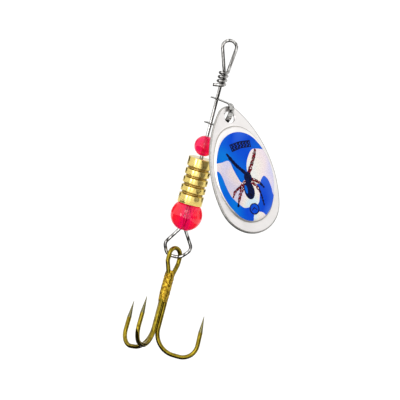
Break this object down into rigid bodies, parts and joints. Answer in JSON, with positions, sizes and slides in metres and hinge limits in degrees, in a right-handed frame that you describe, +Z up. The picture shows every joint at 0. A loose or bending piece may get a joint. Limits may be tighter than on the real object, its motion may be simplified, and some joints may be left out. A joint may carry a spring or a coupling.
{
  "type": "inline spinner lure",
  "caption": "Fishing spinner on a stiff wire, with a looped line eye, a domed blade on a folded clevis, a grooved brass body, red beads and a treble hook.",
  "frame": {"origin": "inside of the line eye's top, where a line or snap pulls", "axes": "+Z up along the straight shaft towards the line eye, +X to the right in the plane of the rear loop, +Y away from the side that the blade hangs on"},
  "size_m": [0.0232, 0.0166, 0.0634],
  "materials": {
    "shaft_wire": "drawn bright wire",
    "clevis_metal": "bright nickel plate",
    "blade_metal": "satin silver plate",
    "printed_foil": "printed pearl foil, blue and white",
    "front_bead": "translucent fluorescent red",
    "body_brass": "turned, bright",
    "rear_bead": "translucent red",
    "hook_wire": "bronze lacquer on steel",
    "hook_braze": "rough braze under bronze lacquer"
  },
  "bodies": {
    "shaft": {"wire_shaft": "shaft_wire"},
    "clevis": {"clevis": "clevis_metal"},
    "blade": {"blade": "blade_metal", "blade_decal": "printed_foil"},
    "front_bead": {"front_bead": "front_bead"},
    "body": {"brass_body": "body_brass"},
    "rear_bead": {"rear_bead": "rear_bead"},
    "treble_hook": {"hook_double_wire": "hook_wire", "hook_single_wire": "hook_wire", "hook_braze": "hook_braze"}
  },
  "joints": [
    {"name": "clevis_spin", "type": "hinge", "parent": "shaft", "child": "clevis", "pos_m": [0, 0, -0.01615], "axis": [0, 0, 1], "continuous": true},
    {"name": "blade_swing", "type": "hinge", "parent": "clevis", "child": "blade", "pos_m": [0.00314, -0.00374, -0.01374], "axis": [-0.766, -0.6428, 0], "range_deg": [-11, 82]},
    {"name": "front_bead_spin", "type": "hinge", "parent": "shaft", "child": "front_bead", "pos_m": [0, 0, -0.0207], "axis": [0, 0, 1], "continuous": true},
    {"name": "body_spin", "type": "hinge", "parent": "shaft", "child": "body", "pos_m": [0, 0, -0.0323], "axis": [0, 0, 1], "continuous": true},
    {"name": "rear_bead_spin", "type": "hinge", "parent": "shaft", "child": "rear_bead", "pos_m": [0, 0, -0.0346], "axis": [0, 0, 1], "continuous": true},
    {"name": "hook_swing", "type": "hinge", "parent": "shaft", "child": "treble_hook", "pos_m": [-0.0002, 0, -0.04306], "axis": [1, 0, 0], "range_deg": [-28, 62]}
  ]
}
